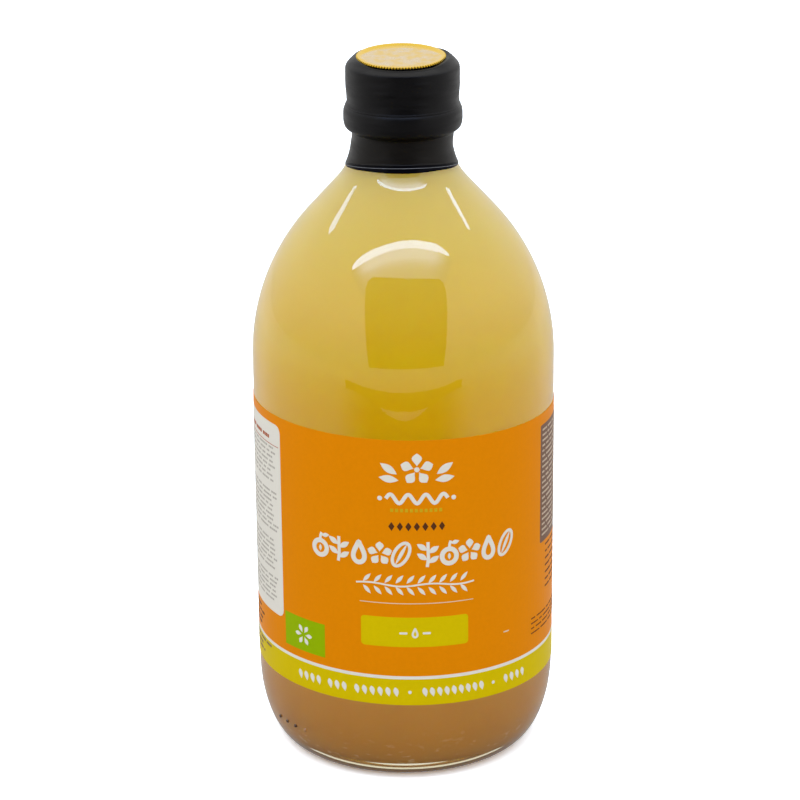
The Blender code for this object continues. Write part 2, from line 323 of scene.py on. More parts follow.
def fading_glow(tree, place):
    """Bright beside the lamp, and as dim as the cloth further out."""
    before = add(tree, "VectorMath", [place, (-LAMP_SKEW, 1, 0)], operation="DOT_PRODUCT")
    # A ramp's colours stop short of such strengths, so it holds tenths of them
    inner = ramp_over(tree, before.outputs["Value"], [
        (LAMP_NEAR + mm, (level / 10, level / 10, level / 10, 1.0)) for mm, level in GLOW_FADES])
    level = add(tree, "Math", [inner, 10.0], operation="MULTIPLY")
    across = add(tree, "SeparateXYZ", [place]).outputs["X"]
    off_middle = add(tree, "Math", [across, GLOW_MIDDLE * MM], operation="SUBTRACT")
    aside = add(tree, "Math", [off_middle], operation="ABSOLUTE")
    outer = add(tree, "MapRange", {"Value": aside, "From Min": GLOW_REACH[0] * MM,
                                   "From Max": GLOW_REACH[1] * MM},
                interpolation_type="SMOOTHSTEP")
    return add(tree, "Mix", {0: outer, 2: level, 3: CLOTH_STRENGTH})


stage_sheet("strip_lamp", "glossy", [(x, y, LAMP_HEIGHT) for x, y in LAMP_OUTLINE],
            LAMP_STRENGTH, COOL)
stage_sheet("lamp_wash", "diffuse", [(x, y, LAMP_HEIGHT + 1) for x, y in LAMP_OUTLINE],
            WASH_STRENGTH)
stage_sheet("lamp_glow", "glossy", [
    (x, LAMP_NEAR + LAMP_SKEW * x - depth, LAMP_HEIGHT - 1) for x, depth in (
        (GLOW_LEFT, 0), (GLOW_RIGHT, 0), (GLOW_RIGHT, GLOW_DEPTH), (GLOW_LEFT, GLOW_DEPTH))],
            fading_glow, COOL)

print("lamp outline:", len(LAMP_OUTLINE), "corners,", LAMP_HEIGHT, "mm up")

# %% Cards
# A dark card that leans back: its corners as mm across and up, from the low left
DARK_OUTLINE = [(-297, 80), (354, 80), (334, 460), (316, 490), (280, 502), (160, 486), (27, 477),
                (-110, 487), (-228, 503), (-264, 491), (-279, 460)]
DARK_FOOT, DARK_LEAN = -692, 0.65
stage_sheet("dark_card", "glossy", [(x, DARK_FOOT + DARK_LEAN * z, z) for x, z in DARK_OUTLINE],
            0.0)


def way_to(turn, rise):
    """A direction, turn degrees round from the camera's side and rise degrees up."""
    t, r = math.radians(turn), math.radians(rise)
    return Vector((math.sin(t) * math.cos(r), -math.cos(t) * math.cos(r), math.sin(r)))


# Small bright cards that face the shoulder: way round and up, half width, half height, strength
CARD_DISTANCE, CARD_FACES = 600, Vector((0, -15, 150))
for name, turn, rise, half_side, half_top, strength in (
        ("left_card", -110.5, 37, 32, 20, 10.0), ("right_card", 109, 41, 46, 16, 13.0)):
    away = way_to(turn, rise)
    side = away.cross(Vector((0, 0, 1))).normalized()
    top = side.cross(away).normalized()
    middle = CARD_FACES + away * CARD_DISTANCE
    stage_sheet(name, "glossy", [middle + side * half_side * i + top * half_top * j
                                 for i, j in ((-1, -1), (1, -1), (1, 1), (-1, 1))],
                strength, COOL)

# %% The table's edge
# As seen from the bottle's wall: degrees round, then how many degrees up its top and bottom are
EDGE_HALF = [(0, -15.4, -18.98), (11, -15.0, -18.9), (17, -14.5, -18.73), (25, -13.6, -18.4),
             (31, -12.7, -17.8), (37, -11.4, -15.9), (42, -10.2, -14.8), (46, -9.8, -14.2)]
EDGE_DISTANCE, EDGE_SEEN_FROM, EDGE_GLOW = 318, Vector((0, -37, 104)), 0.05
edge_line = [(-turn, top, low) for turn, top, low in EDGE_HALF[:0:-1]] + EDGE_HALF
edge_points = [EDGE_SEEN_FROM + EDGE_DISTANCE * way_to(row[0], row[k])
               for k in (1, 2) for row in edge_line]
n = len(edge_line)
stage_sheet("table_edge", "glossy", edge_points, EDGE_GLOW,
            faces=[(i, i + 1, n + i + 1, n + i) for i in range(n - 1)])
print("table edge:", n - 1, "steps")

# %% [markdown]
# ## Geometry Nodes, started the same way each time
#
# Every turned or repeated piece below goes through a node tree. A tree has named inputs for its
# sizes, and a modifier takes them by each socket's identifier. The evaluated result is copied
# into a plain mesh and the modifier goes, so that what is exported is what is seen.


# %% Making and running a tree
def new_tree(name, sizes):
    """A Geometry Nodes tree with named inputs: name -> (socket kind, default value)."""
    tree = bpy.data.node_groups.new(name, "GeometryNodeTree")
    tree.interface.new_socket("Geometry", in_out="INPUT", socket_type="NodeSocketGeometry")
    for label, (kind, value) in sizes.items():
        socket = tree.interface.new_socket(label, in_out="INPUT", socket_type=kind)
        if value is not None:
            socket.default_value = value
    tree.interface.new_socket("Geometry", in_out="OUTPUT", socket_type="NodeSocketGeometry")
    return tree, add(tree, "NodeGroupInput").outputs


def end_tree(tree, shape, finish):
    """Closes a tree: instances made real, then the material."""
    real = add(tree, "GeometryNodeRealizeInstances", {"Geometry": shape})
    done = add(tree, "GeometryNodeSetMaterial", {"Geometry": real, "Material": finish})
    add(tree, "NodeGroupOutput", {"Geometry": done})


def grown(name, mesh, tree, values):
    """The plain object that a mesh becomes when it goes through a tree with these values."""
    item = new_object(name, mesh)
    nodes = item.modifiers.new("shape", "NODES")
    nodes.node_group = tree
    for socket in tree.interface.items_tree:
        if socket.in_out == "INPUT" and socket.name in values:
            nodes[socket.identifier] = values[socket.name]
    graph = bpy.context.evaluated_depsgraph_get()
    made = bpy.data.meshes.new_from_object(item.evaluated_get(graph), depsgraph=graph)
    item.modifiers.remove(nodes)
    item.data = made
    made.name = name
    bpy.data.meshes.remove(mesh)
    return item


print("trees so far:", len(bpy.data.node_groups))

# %% A lathe made of nodes
# The grid's X runs along the profile and its Y round the axis. Each grid point looks up its
# profile point, (radius, 0, height), and is turned about Z by its share of a full turn.
lathe, given = new_tree("Lathe", {"Segments": ("NodeSocketInt", 192),
                                  "Finish": ("NodeSocketMaterial", None)})
count = add(lathe, "GeometryNodeAttributeDomainSize", {"Geometry": given["Geometry"]},
            component="MESH").outputs["Point Count"]
reach = add(lathe, "Math", [count, 1.0], operation="SUBTRACT")
rows = add(lathe, "Math", [given["Segments"], 1.0], operation="ADD")
grid = add(lathe, "GeometryNodeMeshGrid", {"Size X": reach, "Size Y": given["Segments"],
                                           "Vertices X": count, "Vertices Y": rows})
here = add(lathe, "SeparateXYZ", [add(lathe, "GeometryNodeInputPosition")]).outputs
along = add(lathe, "Math", [reach, 0.5, here["X"]], operation="MULTIPLY_ADD")
which = add(lathe, "FunctionNodeFloatToInt", [along], rounding_mode="ROUND")
point = add(lathe, "GeometryNodeSampleIndex",
            {"Geometry": given["Geometry"], "Index": which,
             "Value": add(lathe, "GeometryNodeInputPosition")},
            data_type="FLOAT_VECTOR", domain="POINT")
share = add(lathe, "Math", [here["Y"], given["Segments"]], operation="DIVIDE")
turn = add(lathe, "Math", [share, math.tau], operation="MULTIPLY")
swung = add(lathe, "VectorRotate", {"Vector": point, "Angle": turn}, rotation_type="Z_AXIS")
placed = add(lathe, "GeometryNodeSetPosition", {"Geometry": grid.outputs["Mesh"],
                                                "Position": swung})
closed = add(lathe, "GeometryNodeMergeByDistance", {"Geometry": placed, "Distance": 0.001 * MM})
smooth = add(lathe, "GeometryNodeSetShadeSmooth", [closed])
end_tree(lathe, smooth, given["Finish"])
print("lathe nodes:", len(lathe.nodes))


# %% Turning a profile
def face_outwards(item, sharp=35):
    """Merges doubles, turns the faces outwards and marks the sharp edges."""
    shape = bmesh.new()
    shape.from_mesh(item.data)
    bmesh.ops.remove_doubles(shape, verts=shape.verts, dist=0.001 * MM)
    bmesh.ops.recalc_face_normals(shape, faces=shape.faces)
    shape.to_mesh(item.data)
    shape.free()
    item.data.set_sharp_from_angle(angle=math.radians(sharp))


def turned(name, profile, finish, segments=192, closed=False):
    """A solid of revolution from (radius, height) points in mm. An open one ends on the axis."""
    mesh = new_mesh(name, [(r, 0.0, z) for r, z in profile + (profile[:1] if closed else [])])
    item = grown(name, mesh, lathe, {"Segments": segments, "Finish": finish})
    face_outwards(item)
    return item


def mount(item, slot, *stands_for):
    """Puts a finished piece on the part's one body."""
    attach(item, "root")
    if stands_for:
        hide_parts(*stands_for)
    print(f"{item.name}: {len(item.data.polygons)} faces, top {item.bound_box[1][2] / MM:.1f} mm")


print("lathe inputs:", [s.name for s in lathe.interface.items_tree if s.in_out == "INPUT"])

# %% [markdown]
# ## Flint glass
#
# The bottle is clear soda-lime glass blown in a steel mould: smooth as water, faintly olive in
# its thick base, and a little wavy, because the mould's chill sets it unevenly. It could be a
# mixed Glass shader, but the Principled one with full transmission exports as real glass. The
# waviness is a slow noise in the bump, which makes reflected edges wander slightly.


# %% Starting a material
def new_finish(name, **plain):
    """A material with one Principled shader. Plain values go on the shader's own sockets."""
    finish = bpy.data.materials.new(name)
    finish.use_nodes = True
    tree = finish.node_tree
    shader = tree.nodes["Principled BSDF"]
    for socket, value in plain.items():
        shader.inputs[socket.replace("_", " ")].default_value = value
    where = add(tree, "TexCoord").outputs["Object"]
    return finish, tree, shader, where


def rough_and_bump(tree, shader, where, size_mm, roughness, depth_mm, detail=3.0):
    """One noise gives the roughness its spread and the surface its fine relief."""
    noise = add(tree, "TexNoise", {"Vector": where, "Scale": 1 / (size_mm * MM),
                                   "Detail": detail})
    spread = add(tree, "MapRange", {"Value": noise, "From Min": 0.3, "From Max": 0.7,
                                    "To Min": roughness[0], "To Max": roughness[1]})
    bump = add(tree, "Bump", {"Height": noise, "Distance": depth_mm * MM})
    feed(tree, shader, {"Roughness": spread, "Normal": bump})
    return noise


GLASS_IOR = 1.52
flint_glass, tree, shader, where = new_finish("flint_glass", Transmission_Weight=1.0, IOR=GLASS_IOR,
                                              Roughness=0.0)
# Iron in the sand tints the thick base olive, while the thin wall stays clear
height = add(tree, "SeparateXYZ", [where]).outputs["Z"]
tint = ramp_over(tree, height, [(2.0, linear("CFC89C")), (6.5, linear("FAFCF6"))])
# Mould chill: waves a couple of centimetres long and a few thousandths of a millimetre deep
waves = add(tree, "TexNoise", {"Vector": where, "Scale": 1 / (22 * MM), "Detail": 1.0})
bump = add(tree, "Bump", {"Height": waves, "Distance": 0.02 * MM})
feed(tree, shader, {"Base Color": tint, "Normal": bump})
print("glass IOR", GLASS_IOR)

# %% [markdown]
# ## The bottle's own shape
#
# Seen from the side, the outside is five curves: an elliptical heel, a straight wall, a round
# shoulder, a short cone and a hollow fillet into the neck. The inside follows at the wall's
# thickness over a domed floor. These are the CAD part's own numbers, with more points on each
# arc, so that highlights run smoothly. A rule like this suits the lathe tree well.

# %% Bottle profile
BODY_RADIUS, STAND_RADIUS, PUNT_RADIUS, PUNT_RISE = 38.0, 29.0, 25.0, 2.0
HEEL_HEIGHT, SHOULDER_START, SHOULDER_RADIUS = 21.0, 103.0, 54.7
SHOULDER_ANGLE = math.radians(42.5)
NECK_RADIUS, NECK_FILLET, MOUTH_HEIGHT = 11.95, 17.0, 172.0
WALL, BORE_RADIUS, BRIM = 2.3, 9.2, 0.5
FLOOR_EDGE, FLOOR_DOME = 4.4, 1.4
INNER_HEEL = (8.2, 13.0)


def arc(centre, radii, start, end, steps):
    """Points on an ellipse, both ends included."""
    angles = [start + (end - start) * i / steps for i in range(steps + 1)]
    return [(centre[0] + radii[0] * math.cos(a), centre[1] + radii[1] * math.sin(a))
            for a in angles]


def shoulder_and_neck(body, shoulder, neck, fillet, steps=28):
    """From the top of the straight wall, over the shoulder and down a cone, into the neck."""
    curve = arc((body - shoulder, SHOULDER_START), (shoulder, shoulder), 0, SHOULDER_ANGLE, steps)
    root = neck + fillet * (1 - math.cos(SHOULDER_ANGLE))
    root_height = curve[-1][1] + (curve[-1][0] - root) / math.tan(SHOULDER_ANGLE)
    middle = (neck + fillet, root_height + fillet * math.sin(SHOULDER_ANGLE))
    return curve + arc(middle, (fillet, fillet), math.pi + SHOULDER_ANGLE, math.pi, steps // 2)


def outside():
    """Outer wall from the ring that the bottle stands on up to the mouth."""
    heel = arc((STAND_RADIUS, HEEL_HEIGHT), (BODY_RADIUS - STAND_RADIUS, HEEL_HEIGHT),
               -math.pi / 2, 0, 28)
    return heel + shoulder_and_neck(BODY_RADIUS, SHOULDER_RADIUS, NECK_RADIUS, NECK_FILLET)


def inside(gap=0.0):
    """Inner wall from the middle of the floor up to the neck, set in by the gap."""
    radius = BODY_RADIUS - WALL - gap
    flat = radius - INNER_HEEL[0]
    floor_line = [(flat * s, FLOOR_EDGE + FLOOR_DOME * (1 - s * s) + gap)
                  for s in (0.0, 0.2, 0.4, 0.6, 0.8, 0.92)]
    heel = arc((flat, FLOOR_EDGE + INNER_HEEL[1] + gap), INNER_HEEL, -math.pi / 2, 0, 18)
    upper = shoulder_and_neck(radius, SHOULDER_RADIUS - WALL - gap, BORE_RADIUS - gap,
                              NECK_FILLET + WALL)
    return floor_line + heel + upper


print("points outside and inside:", len(outside()), len(inside()))

# %% Glass shell
lip = [(BORE_RADIUS, MOUTH_HEIGHT - BRIM), (BORE_RADIUS + BRIM, MOUTH_HEIGHT),
       (NECK_RADIUS - BRIM, MOUTH_HEIGHT), (NECK_RADIUS, MOUTH_HEIGHT - BRIM)]
punt = [(PUNT_RADIUS + 1.2, 0.02), (PUNT_RADIUS, 0.2), (PUNT_RADIUS * 0.72, PUNT_RISE * 0.75),
        (PUNT_RADIUS * 0.4, PUNT_RISE * 0.95), (0.0, PUNT_RISE)]
bottle = turned("glass_shell", inside() + lip + outside()[::-1] + punt, flint_glass, 256)
mount(bottle, "glass", "glass_bottle")

# %% [markdown]
# ## Cloudy vinegar and its settled layer
#
# Unfiltered vinegar is a haze of yeast and fruit, so light never gets through half a litre of
# it: the eye sees a soft body of colour, paler up in the neck and deeper towards the label, and
# at the bottom a settled brown layer with a few pale flecks on the floor. A true volume would
# be slow and noisy, so each liquid is a solid with a colour that changes with height. It reaches
# a hair into the glass wall, and so no air gap shows. Its own gloss is off, because liquid
# against glass reflects almost nothing.

# %% Liquid finishes
FLECK_MM, FLECK_FLATNESS, FLECK_CUT, FLECK_HEIGHTS = 2.6, 2.2, (0.6, 0.72), (8, 15)


def haze(name, stops, cloud_mm, cloud, flecks=0.0):
    """A turbid liquid: colours by height in mm, stirred by a faint noise. Where something has
    settled, pale flecks of it lie on the floor."""
    finish, tree, shader, where = new_finish(
        name, Specular_IOR_Level=0.0, IOR=1.34, Subsurface_Weight=0.8,
        Subsurface_Radius=(1.0, 0.8, 0.4), Subsurface_Scale=8 * MM)
    height = add(tree, "SeparateXYZ", [where]).outputs["Z"]
    ramp = ramp_over(tree, height, [(level, linear(hex_colour)) for level, hex_colour in stops])
    noise = rough_and_bump(tree, shader, where, cloud_mm, (0.45, 0.65), 0.01)
    swirl = add(tree, "MapRange", {"Value": noise, "To Min": 1 - cloud, "To Max": 1 + cloud})
    colour = add(tree, "VectorMath", {0: ramp, "Scale": swirl}, operation="SCALE").outputs[0]
    if flecks:
        flat = add(tree, "VectorMath", [where, (1, 1, FLECK_FLATNESS)], operation="MULTIPLY")
        strands = add(tree, "TexNoise", {"Vector": flat, "Scale": 1 / (FLECK_MM * MM),
                                         "Detail": 3.0})
        sparse = add(tree, "MapRange", {"Value": strands, "From Min": FLECK_CUT[0],
                                        "From Max": FLECK_CUT[1], "To Max": flecks})
        sunk = add(tree, "MapRange", {"Value": height, "From Min": FLECK_HEIGHTS[0] * MM,
                                      "From Max": FLECK_HEIGHTS[1] * MM,
                                      "To Min": 1.0, "To Max": 0.0})
        share = add(tree, "Math", [sparse, sunk], operation="MULTIPLY")
        colour = add(tree, "Mix", {0: share, 6: colour, 7: linear("E2C6A0")},
                     data_type="RGBA").outputs[2]
    feed(tree, shader, {"Base Color": colour})
    return finish


# Partly the vinegar's own colour, partly painted light: paler and brighter towards the top, where
# the up-facing shoulder catches the light from above
cloudy_vinegar = haze("cloudy_vinegar", [
    (26, "CB9D00"), (98, "CCA500"), (112, "CFB221"), (117, "D3B42F"), (126, "D9BD44"),
    (137, "DDC656"), (150, "E0CA6B"), (158, "E0CB78")], 30, 0.03)
# The settled layer is painted darker towards the bottom
settled_haze = haze("settled_haze", [(4, "A37336"), (12, "AB7934"), (26, "B7853C")], 14, 0.05, 0.25)
print("liquid finishes:", cloudy_vinegar.name, settled_haze.name)

# %% Liquid solids
SEDIMENT_TOP, FILL_HEIGHT = 26.0, 158.0
INTO_WALL = 0.15


def cut_at(profile, height):
    """Splits a rising profile at a height: what is below, and what is above."""
    for i in range(1, len(profile)):
        low, high = profile[i - 1], profile[i]
        if low[1] < height <= high[1]:
            share = (height - low[1]) / (high[1] - low[1])
            cut = (low[0] + (high[0] - low[0]) * share, height)
            return profile[:i] + [cut], [cut] + profile[i:]
    return profile, []


wetted = inside(-INTO_WALL)
below, above = cut_at(wetted, SEDIMENT_TOP)
column = cut_at(above, FILL_HEIGHT)[0]
if column[-1][1] < FILL_HEIGHT:
    column = column + [(BORE_RADIUS + INTO_WALL, FILL_HEIGHT)]
drink = turned("cloudy_drink", [(0.0, FILL_HEIGHT)] + column[::-1] + [(0.0, SEDIMENT_TOP)],
               cloudy_vinegar, 128)
mount(drink, "vinegar", "vinegar")
dregs = turned("settled_layer", [(0.0, SEDIMENT_TOP)] + below[::-1], settled_haze, 128)
mount(dregs, "sediment", "sediment")

# %% [markdown]
# ## Mould dots
#
# Low on the heel sit four raised dots, the count marks that a bottle mould leaves. Each is a bead
# of glass that bends the settled layer into a dark dot; here that dark dot is painted on the bead
# as an opaque brown, and the fourth is shallow, so its painted dot is nearly as pale as the layer.
# They repeat at an even step, so a small tree sets one bead on each of four points.

# %% Beads on the heel
DOT_ANGLES = (-61.2, -55.6, -50.0, -44.4)
DOT_HEIGHT, DOT_RADIUS, DOT_HEEL_RADIUS = 10.4, 0.5, 36.75

beads, given = new_tree("Beads", {"Bead radius": ("NodeSocketFloat", 0.0005),
                                  "Finish": ("NodeSocketMaterial", None)})
bead = add(beads, "GeometryNodeMeshUVSphere", {"Segments": 12, "Rings": 6,
                                               "Radius": given["Bead radius"]})
set_out = add(beads, "GeometryNodeInstanceOnPoints", {"Points": given["Geometry"],
                                                      "Instance": bead.outputs["Mesh"]})
end_tree(beads, set_out, given["Finish"])

bead_glass, tree, shader, where = new_finish("moulded_bead", IOR=GLASS_IOR)
rough_and_bump(tree, shader, where, 0.4, (0.15, 0.3), 0.01)
# The dots' colour by their place across, a painted shade for the way each bead bends the layer: the
# fourth hardly shows
aside = add(tree, "SeparateXYZ", [where]).outputs["X"]
depth = ramp_over(tree, aside, [(-27.6, linear("4A2E16")), (-26.2, linear("9E7346"))])
feed(tree, shader, {"Base Color": depth})

spots = new_mesh("mould_dots", [(DOT_HEEL_RADIUS * math.sin(math.radians(a)),
                                 -DOT_HEEL_RADIUS * math.cos(math.radians(a)), DOT_HEIGHT)
                                for a in DOT_ANGLES])
dots = grown("mould_dots", spots, beads, {"Bead radius": DOT_RADIUS * MM, "Finish": bead_glass})
face_outwards(dots, 80)
mount(dots, "glass")

# %% [markdown]
# ## Paper and ink
#
# The label is coated paper, about a tenth of a millimetre thick, printed by offset: flat, full
# colours with a faint unevenness where the paper's fibres take the ink, and a low sheen that
# brightens towards the bottle's sides. Every ink is the same finish in another colour, so one
# function makes them all.

# %% Inks
FIBRE_MM = 0.9  # real fibres are finer; drawn this coarse, or they wouldn't show


def ink(name, hex_colour, mottle=0.05, roughness=(0.42, 0.55)):
    """Offset ink on coated paper: the colour breathes a little with the fibres."""
    finish, tree, shader, where = new_finish(name, IOR=1.45, Specular_IOR_Level=0.02,
                                             Sheen_Weight=0.17, Sheen_Roughness=0.3)
    noise = rough_and_bump(tree, shader, where, FIBRE_MM, roughness, 0.006, 5.0)
    amount = add(tree, "MapRange", {"Value": noise, "To Min": 1 - mottle, "To Max": 1 + mottle})
    colour = add(tree, "VectorMath", {0: linear(hex_colour)[:3], "Scale": amount},
                 operation="SCALE")
    feed(tree, shader, {"Base Color": colour})
    return finish


inks = {"orange": ink("ink_orange", "DD8500"), "white": ink("ink_white", "DDDCD6", 0.02),
        "band": ink("ink_yellow_green", "CFBA00"), "green": ink("ink_leaf_green", "8FB000"),
        "brown": ink("ink_dark_brown", "54331A"), "panel": ink("ink_soft_brown", "745B4E"),
        "cream": ink("ink_cream", "D9CDB4"), "grey": ink("ink_grey", "ADAAA4"),
        "olive": ink("ink_olive_yellow", "C9A81C"), "rust": ink("ink_rust", "A85A38"),
        "soft": ink("ink_soft_cream", "C6B5A2")}
print("inks:", ", ".join(inks))

# %% [markdown]
# ## Wrapping flat shapes round the bottle
#
# A label is designed flat and then wrapped, so it is made in the same way here. X runs round the
# bottle, Y up it and Z out of the paper, all in real sizes. One tree rolls any flat mesh on to
# the glass: X becomes an angle, the whole label leans by its slight skew, and the far end rides
# over the near one at the back as a glued seam. It then gives the shape its thickness, and so
# every printed mark is a thin closed solid. Shrinkwrap would also bend the print, but only a
# roll keeps its real spacing.

# %% The wrapping tree
UNROLL_RADIUS = 38.1
PAPER_INNER, PAPER_THICKNESS = 38.02, 0.1
LABEL_SKEW = math.tan(math.radians(1.4))
HALF_TURN = math.pi * UNROLL_RADIUS
SEAM_OVERLAP, SEAM_LIFT = 4.0, 0.13

wrap, given = new_tree("Wrap round the bottle", {
    "Radius": ("NodeSocketFloat", 0.038), "Unroll radius": ("NodeSocketFloat", 0.038),
    "Skew": ("NodeSocketFloat", 0.0), "Thickness": ("NodeSocketFloat", 0.0001),
    "Seam start": ("NodeSocketFloat", 1.0), "Seam lift": ("NodeSocketFloat", 0.0),
    "Ink": ("NodeSocketMaterial", None)})
flat = add(wrap, "SeparateXYZ", [add(wrap, "GeometryNodeInputPosition")]).outputs
angle = add(wrap, "Math", [flat["X"], given["Unroll radius"]], operation="DIVIDE")
seam_end = add(wrap, "Math", [given["Seam start"], 1.5 * MM])
ride_up = add(wrap, "MapRange",
              {"Value": flat["X"], "From Min": given["Seam start"], "From Max": seam_end,
               "To Min": 0.0, "To Max": given["Seam lift"]}, interpolation_type="SMOOTHSTEP")
lifted = add(wrap, "Math", [given["Radius"], flat["Z"]])
radius = add(wrap, "Math", [lifted, ride_up])
sine = add(wrap, "Math", [angle], operation="SINE")
cosine = add(wrap, "Math", [angle], operation="COSINE")
across = add(wrap, "Math", [radius, sine], operation="MULTIPLY")
toward = add(wrap, "Math", [radius, cosine], operation="MULTIPLY")
behind = add(wrap, "Math", [toward, -1.0], operation="MULTIPLY")
lean = add(wrap, "Math", [across, given["Skew"]], operation="MULTIPLY")
level = add(wrap, "Math", [flat["Y"], lean], operation="SUBTRACT")
rolled = add(wrap, "CombineXYZ", [across, behind, level])
bent = add(wrap, "GeometryNodeSetPosition", {"Geometry": given["Geometry"], "Position": rolled})
front = add(wrap, "GeometryNodeExtrudeMesh", {"Mesh": bent, "Individual": False,
                                              "Offset Scale": given["Thickness"]}, mode="FACES")
reverse = add(wrap, "GeometryNodeFlipFaces", [bent])
both = add(wrap, "GeometryNodeJoinGeometry", [front.outputs["Mesh"]])
feed(wrap, both, [reverse])
sewn = add(wrap, "GeometryNodeMergeByDistance", {"Geometry": both, "Distance": 0.001 * MM})
end_tree(wrap, sewn, given["Ink"])
print("label goes round", round(2 * HALF_TURN, 1), "mm")

# %% [markdown]
# ## Flat shapes
#
# All the print is made of a few flat shapes in millimetres: ovals, pointed leaves, bars, rounded
# boxes and ribbons along a line. A ribbon is a line with a stroke's width, like a pen's. The
# shapes are cut at even steps before they are rolled, so that each follows the curve.


# %% Ovals, leaves and boxes
def oval(width, height, steps=20):
    turns = [math.tau * i / steps for i in range(steps)]
    return ([(width / 2 * math.cos(t), height / 2 * math.sin(t)) for t in turns],
            [tuple(range(steps))])


def leaf(length, width, steps=6, belly=0.5):
    """A leaf along X, pointed at both ends, at its widest where belly says."""
    def half(t):
        bend = t ** (math.log(0.5) / math.log(belly))
        return width / 2 * math.sin(math.pi * bend)
    stations = [i / steps for i in range(steps + 1)]
    lower = [((t - 0.5) * length, -half(t)) for t in stations]
    upper = [((t - 0.5) * length, half(t)) for t in stations[1:-1]]
    outline = lower + upper[::-1]
    return outline, [tuple(range(len(outline)))]


def box(left, right, bottom, top, corner=0.0, steps=4):
    if not corner:
        return [(left, bottom), (right, bottom), (right, top), (left, top)], [(0, 1, 2, 3)]
    outline = []
    for x, y, start in ((right - corner, bottom + corner, -0.5),
                        (right - corner, top - corner, 0.0),
                        (left + corner, top - corner, 0.5),
                        (left + corner, bottom + corner, 1.0)):
        outline += arc((x, y), (corner, corner), start * math.pi, (start + 0.5) * math.pi, steps)
    return outline, [tuple(range(len(outline)))]


print("leaf corners:", len(leaf(3, 1)[0]))


# %% Ribbons, and shapes set down
def ribbon(line, width, loop=False):
    """A stroke of even width along a line."""
    points, faces, n = [], [], len(line)
    for i, (x, y) in enumerate(line):
        before = line[i - 1] if loop or i else line[0]
        after = line[(i + 1) % n] if loop or i < n - 1 else line[-1]
        dx, dy = after[0] - before[0], after[1] - before[1]
        length = math.hypot(dx, dy)
        nx, ny = -dy / length * width / 2, dx / length * width / 2
        points += [(x - nx, y - ny), (x + nx, y + ny)]
    for i in range(n if loop else n - 1):
        j = (i + 1) % n
        faces.append((2 * i, 2 * j, 2 * j + 1, 2 * i + 1))
    return points, faces


def moved(shape, x, y, turn=0.0):
    """A shape turned by degrees and set down at a place."""
    c, s = math.cos(math.radians(turn)), math.sin(math.radians(turn))
    return [(x + c * px - s * py, y + s * px + c * py) for px, py in shape[0]], shape[1]


def flat_mesh(name, shapes):
    """Flat shapes in mm as one mesh in metres, lying in XY."""
    shape = bmesh.new()
    for points, faces in shapes:
        corners = [shape.verts.new((x * MM, y * MM, 0.0)) for x, y in points]
        for face in faces:
            shape.faces.new([corners[i] for i in face])
    bmesh.ops.triangulate(shape, faces=[f for f in shape.faces if len(f.verts) > 4])
    mesh = bpy.data.meshes.new(name)
    shape.to_mesh(mesh)
    shape.free()
    return mesh


print("ribbon corners:", len(ribbon([(0, 0), (1, 0), (2, 1)], 0.5)[0]))

# %% Rolling print on to the bottle
BEND_STEP = 1.5
FIELD_HEIGHT, MARK_HEIGHT, INK_SINK = 0.03, 0.06, 0.01


def sliced(mesh, step):
    """Cuts a flat mesh at even steps along X, so that it can bend."""
    shape = bmesh.new()
    shape.from_mesh(mesh)
    xs = [v.co.x / MM for v in shape.verts]
    for i in range(math.ceil(min(xs) / step), math.floor(max(xs) / step) + 1):
        bmesh.ops.bisect_plane(shape, geom=shape.verts[:] + shape.edges[:] + shape.faces[:],
                               plane_co=(i * step * MM, 0, 0), plane_no=(1, 0, 0), dist=1e-7)
    shape.to_mesh(mesh)
    shape.free()
    return mesh


def rolled_on(name, mesh, colour, inner, thickness, bend=True):
    """Rolls a flat mesh on to the bottle, at an inner radius and with a thickness in mm."""
    if bend:
        sliced(mesh, BEND_STEP)
    item = grown(name, mesh, wrap, {
        "Radius": inner * MM, "Unroll radius": UNROLL_RADIUS * MM, "Skew": LABEL_SKEW,
        "Thickness": thickness * MM, "Seam start": (HALF_TURN - 2.0) * MM,
        "Seam lift": SEAM_LIFT * MM, "Ink": inks[colour]})
    # Paper glows through, so light on its way through the glass isn't stopped by it
    item.visible_transmission = False
    mount(item, "label", *(("paper_label",) if name == "label_paper" else ()))


def printed(name, shapes, colour, marks=True, bend=True):
    """A field of ink, or marks that stand a little prouder than the fields."""
    inner = PAPER_INNER + PAPER_THICKNESS - INK_SINK
    mesh = shapes if isinstance(shapes, bpy.types.Mesh) else flat_mesh(name, shapes)
    height = MARK_HEIGHT if marks else FIELD_HEIGHT
    rolled_on(name, mesh, colour, inner, INK_SINK + height, bend)


LABEL_BOTTOM, LABEL_TOP = 22.6, 92.4
rolled_on("label_paper", flat_mesh("label_paper", [
    box(-HALF_TURN, HALF_TURN + SEAM_OVERLAP, LABEL_BOTTOM, LABEL_TOP)]), "orange",
          PAPER_INNER, PAPER_THICKNESS)

# %% Fields of colour
LINE_MIDDLE, LINE_WIDTH = 30.0, 0.85
ends = (-HALF_TURN, HALF_TURN + SEAM_OVERLAP)
printed("band_field", [box(*ends, LABEL_BOTTOM, LINE_MIDDLE - LINE_WIDTH / 2)], "band", False)
printed("band_line", [box(*ends, LINE_MIDDLE - LINE_WIDTH / 2, LINE_MIDDLE + LINE_WIDTH / 2)],
        "white", False)
printed("white_panel", [box(-82, -35.6, 39, 90, 2.0)], "white", False)
printed("brown_panel", [box(41.9, 86, 58, 89.4, 0.5)], "panel", False)
printed("grade_box", [box(-11.2, 15.9, 38.3, 46.2, 0.9)], "band", False)
printed("sprig_box", [box(-34.8, -21.2, 32.6, 41.5)], "green", False)

# %% [markdown]
# ## Ornaments in the places of words
#
# Where a real label has its words, this one has plain ornaments of the same weight, so that the
# eye still reads a title, a smaller line and a band of small print. A row repeats a few motifs,
# so a tree stamps a motif on a point for each one. The motifs are whole fruits, leaves, drops
# and blossoms drawn with one stroke's width.

